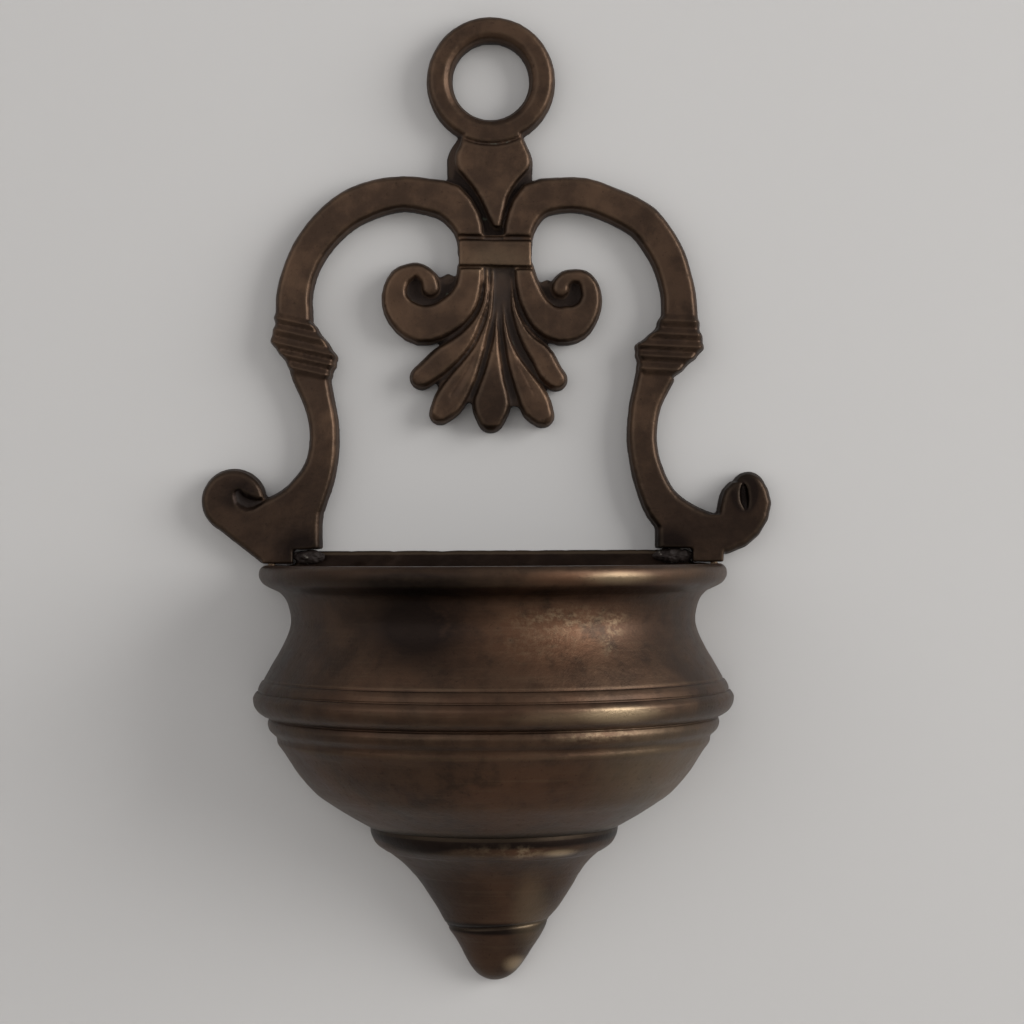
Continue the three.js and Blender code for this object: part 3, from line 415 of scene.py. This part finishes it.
# Helpers for modelling

NODE_WELD = 0.002 * MM  # corners of a frame node that are closer than this are one
SPIN_WELD = 0.004 * MM  # the same for the corners of a spun piece
TURNED_ANGLE = math.radians(35)  # a sharper edge than this stays sharp on a turned piece
MOULDING_STEPS = 5  # from one point of a turned profile to the next
INSIDE_STEPS = 4  # the same inside the bowl
EDGE_TURN = math.radians(22)  # where the line turns more than this, two mouldings meet in an edge
EDGE_REACH_SHARE = 0.4  # of the step beside an edge, which the edge takes up at most
EDGE_ROUND_SHARE = 0.4  # of the way from the corner to a straight bevel


def deselected():
    if bpy.context.mode != "OBJECT":
        bpy.ops.object.mode_set(mode="OBJECT")
    bpy.ops.object.select_all(action="DESELECT")


def chosen(piece):
    deselected()
    piece.select_set(True)
    bpy.context.view_layer.objects.active = piece


@contextmanager
def editing(piece):
    """Opens a piece in edit mode with all of it selected."""
    chosen(piece)
    bpy.ops.object.mode_set(mode="EDIT")
    bpy.ops.mesh.select_all(action="SELECT")
    yield
    bpy.ops.object.mode_set(mode="OBJECT")


def modified(piece, kind, **settings):
    """Adds a modifier and applies it."""
    chosen(piece)
    modifier = piece.modifiers.new(kind.lower(), kind)
    for name, value in settings.items():
        setattr(modifier, name, value)
    bpy.ops.object.modifier_apply(modifier=modifier.name)


def named(piece, name):
    piece.name = name
    piece.data.name = name
    return piece


def copied(node, name):
    """A copy of a frame node's mesh with its doubles merged."""
    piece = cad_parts[node].copy()
    piece.data = piece.data.copy()
    named(piece, name)
    piece.parent = None
    for key in list(piece.keys()):
        del piece[key]
    bpy.context.scene.collection.objects.link(piece)
    with editing(piece):
        bpy.ops.mesh.remove_doubles(threshold=NODE_WELD)
        bpy.ops.mesh.customdata_custom_splitnormals_clear()
    return piece


def smooth_shaded(piece, angle):
    chosen(piece)
    bpy.ops.object.shade_smooth_by_angle(angle=angle)


def corners_of(piece):
    places = np.empty(len(piece.data.vertices) * 3, np.float32)
    piece.data.vertices.foreach_get("co", places)
    return places.reshape(-1, 3).astype(float)


def move_corners(piece, places):
    piece.data.vertices.foreach_set("co", places.astype(np.float32).ravel())
    piece.data.update()


def mark_relief(piece, name, passes, height):
    """Stores how far each corner stands out from its surroundings: 0.5 on a flat face."""
    mesh = piece.data
    places = corners_of(piece)
    count = len(places)
    normals = np.empty(count * 3, np.float32)
    mesh.vertices.foreach_get("normal", normals)
    ends = np.empty(len(mesh.edges) * 2, np.int32)
    mesh.edges.foreach_get("vertices", ends)
    starts, stops = ends[0::2], ends[1::2]
    degree = np.bincount(ends, minlength=count)[:, None]
    calm = places.copy()
    for _ in range(passes):
        total = np.stack([
            np.bincount(starts, calm[stops, axis], count)
            + np.bincount(stops, calm[starts, axis], count) for axis in range(3)], axis=1)
        calm = total / np.maximum(degree, 1)
    stand = ((places - calm) * normals.reshape(-1, 3)).sum(1) / height
    attribute = mesh.attributes.new(name, "FLOAT", "POINT")
    attribute.data.foreach_set("value", (np.clip(stand, -1, 1) / 2 + 0.5).astype(np.float32))


def grained(piece, size, height):
    """Roughens a surface with clouds of this size."""
    texture = bpy.data.textures.new(f"{piece.name}_grain", "CLOUDS")
    texture.noise_scale = size
    texture.noise_depth = 2
    modified(piece, "DISPLACE", texture=texture, strength=height, mid_level=0.5,
             texture_coords="LOCAL")


def within_frame(piece, node):
    """Keeps a piece inside the box of the node that it stands for."""
    low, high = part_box(node)
    places = corners_of(piece)
    move_corners(piece, np.clip(places, np.array(low), np.array(high)))


def finished(piece, material, node):
    """Gives a piece its material, its body and its place in the frame."""
    piece.data.materials.clear()
    piece.data.materials.append(material)
    deselected()
    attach(piece, BODY)
    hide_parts(node)


def smooth_line(points, steps):
    """Points along a smooth line through the given ones."""
    line = []
    for index in range(len(points) - 1):
        before = points[max(index - 1, 0)]
        start, end = points[index], points[index + 1]
        after = points[min(index + 2, len(points) - 1)]
        for step in range(steps):
            t = step / steps
            line.append(Vector([
                0.5 * (2 * b + (c - a) * t + (2 * a - 5 * b + 4 * c - d) * t * t
                       + (3 * b - a - 3 * c + d) * t ** 3)
                for a, b, c, d in zip(before, start, end, after)]))
    return line + [Vector(points[-1])]


def profile_of(mouldings, edge):
    """One line down several mouldings, with a narrow worn edge where two of them meet."""
    line = []
    for moulding in mouldings:
        points = smooth_line(moulding, MOULDING_STEPS)
        if line and (points[0] - line[-1]).length < edge / 4:
            points = points[1:]
        line.extend(points)
    softened = [line[0]]
    for before, here, after in zip(line, line[1:], line[2:]):
        if (here - before).angle(after - here, 0) < EDGE_TURN:
            softened.append(here)
            continue
        back = min(edge, (here - before).length * EDGE_REACH_SHARE)
        ahead = min(edge, (after - here).length * EDGE_REACH_SHARE)
        first = here + (before - here).normalized() * back
        last = here + (after - here).normalized() * ahead
        softened.extend([first, here.lerp((first + last) / 2, EDGE_ROUND_SHARE), last])
    return softened + [line[-1]]


def closed_on_axis(line):
    """Runs a line in to the axis at each end that isn't there yet."""
    first, last = line[0], line[-1]
    start = [Vector((0, first.y))] if first.x > 0 else []
    end = [Vector((0, last.y))] if last.x > 0 else []
    return start + line + end


def spun(name, line, rounds):
    """Draws a line by extruding one corner, and spins it half way round over the front."""
    deselected()
    bpy.ops.mesh.primitive_plane_add(size=MM, location=(0, 0, 0))
    piece = named(bpy.context.object, name)
    with editing(piece):
        bpy.ops.mesh.merge(type="CENTER")
        bpy.ops.transform.translate(value=(line[0].x, 0, line[0].y))
        for before, after in zip(line, line[1:]):
            bpy.ops.mesh.extrude_region_move(
                TRANSFORM_OT_translate={"value": (after.x - before.x, 0, after.y - before.y)})
        bpy.ops.mesh.select_all(action="SELECT")
        bpy.ops.mesh.spin(steps=rounds, angle=math.pi, center=(0, 0, 0), axis=(0, 0, 1))
        bpy.ops.mesh.select_all(action="SELECT")
        bpy.ops.mesh.remove_doubles(threshold=SPIN_WELD)
    return piece


def cut_flat(piece, gap):
    """Cuts a turned piece off this far in front of the wall, and closes it there.

    Corners within 0.1 mm of the cut stay where they are, so the back is uneven by as much.
    """
    with editing(piece):
        bpy.ops.mesh.bisect(plane_co=(0, -gap, 0), plane_no=(0, 1, 0),
                            clear_outer=True, use_fill=True)
        bpy.ops.mesh.select_all(action="SELECT")
        bpy.ops.mesh.normals_make_consistent(inside=False)


# Turned profiles, as (radius, drop below the rim's top) in millimetres of a bowl of radius 52.7

PROFILE_UNIT = BOWL_RADIUS / 52.7
BOWL_OUTSIDE = (
    ((48.0, 0.25), (48.9, 0.02), (50.2, 0.12)),
    ((50.2, 0.12), (51.0, 0.75), (51.35, 1.75), (51.2, 2.9), (50.4, 4.1), (49.2, 4.85)),
    ((49.2, 4.85), (47.9, 5.45), (46.7, 6.1), (45.4, 7.7), (44.6, 10.2), (44.4, 12.7),
     (45.15, 15.4), (46.75, 18.7), (48.4, 21.5), (50.2, 24.7)),
    ((50.2, 24.7), (50.35, 25.15), (50.75, 25.3), (51.3, 26.2), (51.6, 27.1)),
    ((51.6, 27.1), (51.55, 27.55), (52.0, 27.7), (52.6, 28.6), (52.7, 29.35),
     (52.45, 30.6), (51.7, 31.8), (50.45, 32.7)),
    ((50.45, 32.7), (49.15, 33.2), (49.35, 33.75), (49.5, 34.7), (49.1, 35.9),
     (48.45, 36.6)),
    ((48.45, 36.6), (47.75, 37.2), (47.5, 37.85), (47.3, 38.9), (46.0, 40.7),
     (44.7, 42.75), (43.25, 45.0), (41.5, 47.2), (39.0, 49.85), (36.4, 51.75),
     (32.3, 54.4), (27.6, 57.1)),
)
BOWL_INSIDE = (
    (46.5, 0.6), (45.6, 2.6), (43.0, 5.7), (41.6, 11.4), (43.0, 18.8), (45.8, 25.7),
    (47.0, 29.7), (45.8, 35.4), (41.6, 42.8), (35.3, 48.5), (22.1, 52.0),
)
PENDANT_OUTSIDE = (
    ((27.2, 57.15), (27.15, 58.3), (26.75, 59.6), (25.9, 61.0), (24.1, 62.3)),
    ((24.1, 62.3), (23.3, 62.7), (21.0, 64.6), (19.3, 66.4), (18.4, 67.6)),
    ((18.4, 67.6), (18.1, 67.85), (16.0, 71.1), (13.6, 74.8), (11.7, 77.7)),
    ((11.7, 77.7), (11.3, 78.05), (11.1, 78.5)),
)
DROP_OUTSIDE = (
    ((10.75, 78.42), (10.8, 79.1), (10.3, 80.2), (9.2, 82.0), (7.9, 84.1), (6.6, 86.4),
     (5.2, 88.5), (3.6, 90.1), (1.7, 91.05), (0.0, 91.35)),
)
DROP_JOINT = 78.6  # drop to the joint between cone and drop


def height_of(drop):
    return RIM_HEIGHT - drop * PROFILE_UNIT


def in_metres(points):
    return [(radius * PROFILE_UNIT, height_of(drop)) for radius, drop in points]


def outline(mouldings):
    edge = bpy.context.scene.font_sizes.moulding_edge
    return profile_of([in_metres(moulding) for moulding in mouldings], edge)


# Operators

class FONT_OT_hanger(bpy.types.Operator):
    """Adds the openwork hanger casting"""
    bl_idname = "font.hanger"
    bl_label = "Hanger casting"

    FACE_DEPTH = 4.3 * MM  # what lies further back than this is a side wall or sunk

    def execute(self, context):
        sizes = context.scene.font_sizes
        piece = copied("hanger_frame", "hanger_casting")
        modified(piece, "REMESH", mode="VOXEL", voxel_size=sizes.casting_mesh,
                 use_smooth_shade=True)
        modified(piece, "SMOOTH", factor=0.5, iterations=3)
        mark_relief(piece, "ridge", passes=9, height=0.16 * MM)
        mark_relief(piece, "form", passes=90, height=0.9 * MM)
        grained(piece, size=5 * MM, height=2.4 * sizes.casting_grain)
        grained(piece, size=0.9 * MM, height=sizes.casting_grain)
        modified(piece, "DECIMATE", ratio=0.55)
        within_frame(piece, "hanger_frame")
        material = brass("hanger_brass", wear=0.1, depth=self.FACE_DEPTH, stain_and_shade=HANGER_STAIN_AND_SHADE,
                         painted_highlight=HANGER_PAINTED_HIGHLIGHT)
        finished(piece, material, "hanger_frame")
        return {"FINISHED"}


class FONT_OT_bowl(bpy.types.Operator):
    """Adds the half-round bowl"""
    bl_idname = "font.bowl"
    bl_label = "Bowl"

    def execute(self, context):
        sizes = context.scene.font_sizes
        inside = smooth_line(in_metres(BOWL_INSIDE), INSIDE_STEPS)
        line = closed_on_axis(inside[::-1] + outline(BOWL_OUTSIDE))
        piece = spun("bowl", line, rounds=160)
        cut_flat(piece, sizes.joint_gap - PLATE_FRONT)
        smooth_shaded(piece, TURNED_ANGLE)
        mark_relief(piece, "ridge", passes=4, height=0.12 * MM)
        mark_relief(piece, "form", passes=50, height=0.9 * MM)
        material = brass("bowl_brass", wear=0.35, turned=True, dark=0.28, stain_and_shade=BOWL_STAIN_AND_SHADE,
                         ruddy=BOWL_RUDDY, rub_and_highlight=BOWL_RUB_AND_HIGHLIGHT, painted_highlight=BOWL_PAINTED_HIGHLIGHT)
        finished(piece, material, "bowl_shell")
        return {"FINISHED"}


class FONT_OT_hanging_parts(bpy.types.Operator):
    """Adds the foot ring with its cone, and the drop under it"""
    bl_idname = "font.hanging_parts"
    bl_label = "Pendant and drop"

    BACK_TRIM = 0.02 * MM  # between the wall and the plane that cuts them flat
    SWAY_DROPS = (91, 80, 70, 63)  # in mm: tip of the drop, joint, middle and top of the cone
    SWAY_SHARES = (0, 1, 1, 0)  # of the cone's sway, at each of these
    LEAN_REACH = 4 * MM  # how far from the joint the lean fades out
    DROP_LEAN_SHARE = 1 / 6  # how much more the drop's own top leans, from its right end

    def execute(self, context):
        sizes = context.scene.font_sizes
        joint = Vector((0, 0, height_of(DROP_JOINT)))
        for name, mouldings, node in (
                ("pendant_cone", PENDANT_OUTSIDE, "pendant"),
                ("drop_tip", DROP_OUTSIDE, "drop_finial")):
            line = outline(mouldings)
            piece = spun(name, closed_on_axis(line), rounds=112)
            cut_flat(piece, self.BACK_TRIM)
            self.sway(piece, sizes.cone_sway)
            self.lean(piece, joint, sizes.drop_lean)
            if name == "drop_tip":
                end = joint + Vector((line[0].x, 0, 0))
                self.lean(piece, end, sizes.drop_lean * self.DROP_LEAN_SHARE)
            smooth_shaded(piece, TURNED_ANGLE)
            mark_relief(piece, "ridge", passes=4, height=0.12 * MM)
            mark_relief(piece, "form", passes=40, height=0.9 * MM)
            material = brass(f"{node}_brass", wear=0.2, turned=True, dark=0.30,
                             stain_and_shade=PENDANT_STAIN_AND_SHADE, ruddy=PENDANT_RUDDY, rub_and_highlight=PENDANT_RUB_AND_HIGHLIGHT,
                             painted_highlight=PENDANT_PAINTED_HIGHLIGHT)
            finished(piece, material, node)
        return {"FINISHED"}

    def sway(self, piece, reach):
        """Moves the cone a little aside, less and less towards its ring and the drop's tip."""
        heights = [RIM_HEIGHT - drop * MM for drop in self.SWAY_DROPS]
        places = corners_of(piece)
        places[:, 0] += reach * np.interp(places[:, 2], heights, self.SWAY_SHARES)
        move_corners(piece, places)

    def lean(self, piece, hinge, angle):
        """Tips the joint between cone and drop, and fades out away from it."""
        places = corners_of(piece)
        share = np.clip(1 - np.abs(places[:, 2] - hinge.z) / self.LEAN_REACH, 0, 1)
        share *= share * (3 - 2 * share)
        places[:, 2] += (places[:, 0] - hinge.x) * math.tan(angle) * share
        move_corners(piece, places)


class FONT_OT_plate(bpy.types.Operator):
    """Adds the plate that closes the bowl's back"""
    bl_idname = "font.plate"
    bl_label = "Back plate"

    ROUGH_REACH = 2 * MM  # how far below the rim the rough upper edge fades out

    def execute(self, context):
        sizes = context.scene.font_sizes
        piece = copied("back_plate", "closing_plate")
        modified(piece, "REMESH", mode="VOXEL", voxel_size=sizes.plate_mesh,
                 use_smooth_shade=True)
        mark_relief(piece, "ridge", passes=3, height=0.2 * MM)
        mark_relief(piece, "form", passes=20, height=0.9 * MM)
        calm = corners_of(piece)
        grained(piece, size=4 * MM, height=0.5 * MM)
        grained(piece, size=1.2 * MM, height=0.25 * MM)
        rough = np.clip((calm[:, 2:] - RIM_HEIGHT) / self.ROUGH_REACH + 1, 0, 1)
        move_corners(piece, calm + (corners_of(piece) - calm) * rough)
        within_frame(piece, "back_plate")
        material = brass("plate_brass", wear=0.3, dark=0.72, stain_and_shade=PLATE_DARKER_EDGE)
        finished(piece, material, "back_plate")
        return {"FINISHED"}


class FONT_OT_solder(bpy.types.Operator):
    """Adds the lumps of solder between the feet and the plate"""
    bl_idname = "font.solder"
    bl_label = "Solder"

    SWELL = 1.2  # times the size of the node
    LUMP_ANGLE = math.radians(50)  # a sharper edge than this stays sharp on a lump

    def execute(self, context):
        material = solder_finish()
        for side in ("left", "right"):
            node = f"solder_fillet_{side}"
            low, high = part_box(node)
            middle = (low + high) / 2
            deselected()
            bpy.ops.mesh.primitive_ico_sphere_add(subdivisions=5, radius=0.5, location=middle)
            piece = named(bpy.context.object, f"solder_lump_{side}")
            with editing(piece):
                bpy.ops.transform.resize(value=(high - low) * self.SWELL, center_override=middle)
            bpy.ops.object.transform_apply(location=True)
            grained(piece, size=1.5 * MM, height=1.1 * MM)
            grained(piece, size=0.5 * MM, height=0.35 * MM)
            smooth_shaded(piece, self.LUMP_ANGLE)
            finished(piece, material, node)
        return {"FINISHED"}


class FONT_OT_fixings(bpy.types.Operator):
    """Gives the stud and the dowels their brass"""
    bl_idname = "font.fixings"
    bl_label = "Stud and dowels"

    def execute(self, context):
        material = fixing_finish()
        for node in ("pendant_stud", "foot_pin_left", "foot_pin_right"):
            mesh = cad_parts[node].data
            mesh.materials.clear()
            mesh.materials.append(material)
        return {"FINISHED"}


class FONT_OT_stage(bpy.types.Operator):
    """Adds the wall, the floor, the lights and the camera"""
    bl_idname = "font.stage"
    bl_label = "Wall, lights and camera"

    MIDDLE = Vector((0, 0, RIM_HEIGHT))  # of the stage: all its places count from here
    WALL_SIZE = 4
    WALL_GAP = 0.7 * MM
    FLOOR_SIZE = 2.8
    FLOOR_DROP = 0.30
    FLOOR_SEEN_SHARE = 0.68  # of the wall's colour, where the camera sees the floor
    CLEAR_REACH = 2.5 * MM  # the wall stops no ray that is shorter than this
    ROOM_COLOUR = (0.98, 0.97, 1.0, 1)
    ROOM_STRENGTH = 0.55
    CAMERA_PLACE = Vector((4.66, -528, 4.6)) * MM
    CAMERA_AIM = Vector((-0.00081, 1, 0.01288))
    CAMERA_TOP = Vector((0.0045, 0, 1))
    CAMERA_LENS = 84.375

    def execute(self, context):
        self.sheet("wall", (0, self.WALL_GAP, 0), (math.pi / 2, 0, 0), self.WALL_SIZE,
                   self.wall_finish())
        self.sheet("floor", (0, -self.FLOOR_SIZE / 2, -self.FLOOR_DROP), (0, 0, 0),
                   self.FLOOR_SIZE, self.floor_finish())
        self.room(context.scene)
        self.lamp(context.scene, "key", (1.60, -0.78, 0.45), size=1.2, power=31)
        self.lamp(context.scene, "fill", (-1.20, -1.40, 0.20), size=2.4, power=14)
        self.camera(context.scene)
        return {"FINISHED"}

    def sheet(self, name, place, turn, size, material):
        deselected()
        bpy.ops.mesh.primitive_plane_add(
            size=size, location=self.MIDDLE + Vector(place), rotation=turn)
        made = bpy.context.object
        made.name = name
        made.data.materials.append(material)

    def floor_finish(self):
        """A floor that the camera sees a little darker than it throws light back."""
        colour = bpy.context.scene.font_colours.wall
        finish = Finish(bpy.data.materials.new("stage_floor"))
        bright = finish.node("ShaderNodeBsdfDiffuse", None, {"Color": (*colour, 1)})
        seen = [self.FLOOR_SEEN_SHARE * part for part in colour]
        calm = finish.node("ShaderNodeBsdfDiffuse", None, {"Color": (*seen, 1)})
        camera = finish.node("ShaderNodeLightPath", output="Is Camera Ray")
        return finish.ended(finish.node("ShaderNodeMixShader", None, {
            0: camera, 1: bright, 2: calm}))

    def wall_finish(self):
        """A wall that is clear from behind, and lets light reach what lies flat against it."""
        colour = bpy.context.scene.font_colours.wall
        finish = Finish(bpy.data.materials.new("stage_wall"))
        paint = finish.node("ShaderNodeBsdfDiffuse", None, {"Color": (*colour, 1)})
        clear = finish.node("ShaderNodeBsdfTransparent")
        behind = finish.node("ShaderNodeNewGeometry", output="Backfacing")
        length = finish.node("ShaderNodeLightPath", output="Ray Length")
        close = finish.node("ShaderNodeMath", {"operation": "LESS_THAN"}, {
            0: length, 1: self.CLEAR_REACH})
        open_wall = finish.node("ShaderNodeMath", {"operation": "MAXIMUM"}, {
            0: behind, 1: close})
        return finish.ended(finish.node("ShaderNodeMixShader", None, {
            0: open_wall, 1: paint, 2: clear}))

    def room(self, scene):
        finish = Finish(bpy.data.worlds.new("room"))
        light = finish.node("ShaderNodeBackground", None, {
            "Color": self.ROOM_COLOUR, "Strength": self.ROOM_STRENGTH})
        scene.world = finish.ended(light, "ShaderNodeOutputWorld")

    def lamp(self, scene, name, place, size, power):
        """Adds a square lamp that shines on the middle of the rim."""
        data = bpy.data.lights.new(name, "AREA")
        data.shape = "SQUARE"
        data.size = size
        data.energy = power
        lamp = bpy.data.objects.new(name, data)
        lamp.location = self.MIDDLE + Vector(place)
        aim = self.MIDDLE - lamp.location
        lamp.rotation_euler = aim.to_track_quat("-Z", "Y").to_euler()
        scene.collection.objects.link(lamp)

    def camera(self, scene):
        data = bpy.data.cameras.new("camera")
        data.sensor_width = 36
        data.lens = self.CAMERA_LENS
        camera = bpy.data.objects.new("camera", data)
        forward = self.CAMERA_AIM.normalized()
        side = forward.cross(self.CAMERA_TOP).normalized()
        turn = Matrix((side, side.cross(forward), -forward)).transposed()
        camera.matrix_world = Matrix.Translation(self.MIDDLE + self.CAMERA_PLACE) @ turn.to_4x4()
        scene.collection.objects.link(camera)
        scene.camera = camera
        scene.view_settings.view_transform = "Standard"


STEPS = (
    FONT_OT_hanger, FONT_OT_bowl, FONT_OT_hanging_parts, FONT_OT_plate, FONT_OT_solder,
    FONT_OT_fixings, FONT_OT_stage,
)


class FONT_PT_font(bpy.types.Panel):
    """Lists the font's pieces, sizes and colours"""
    bl_idname = "FONT_PT_font"
    bl_label = "Holy water font"
    bl_space_type = "VIEW_3D"
    bl_region_type = "UI"
    bl_category = "Font"

    def draw(self, context):
        for step in STEPS:
            self.layout.operator(step.bl_idname)
        for group in (context.scene.font_sizes, context.scene.font_colours):
            for name in group.bl_rna.properties.keys():
                if name not in ("rna_type", "name"):
                    self.layout.prop(group, name)


CLASSES = (FontSizes, FontColours, *STEPS, FONT_PT_font)


def register():
    for each in CLASSES:
        bpy.utils.register_class(each)
    bpy.types.Scene.font_sizes = bpy.props.PointerProperty(type=FontSizes)
    bpy.types.Scene.font_colours = bpy.props.PointerProperty(type=FontColours)


def unregister():
    del bpy.types.Scene.font_colours
    del bpy.types.Scene.font_sizes
    for each in reversed(CLASSES):
        bpy.utils.unregister_class(each)


def main():
    register()
    bpy.ops.font.hanger()
    bpy.ops.font.bowl()
    bpy.ops.font.hanging_parts()
    bpy.ops.font.plate()
    bpy.ops.font.solder()
    bpy.ops.font.fixings()
    bpy.ops.font.stage()
    deselected()


if __name__ == "__main__":
    main()
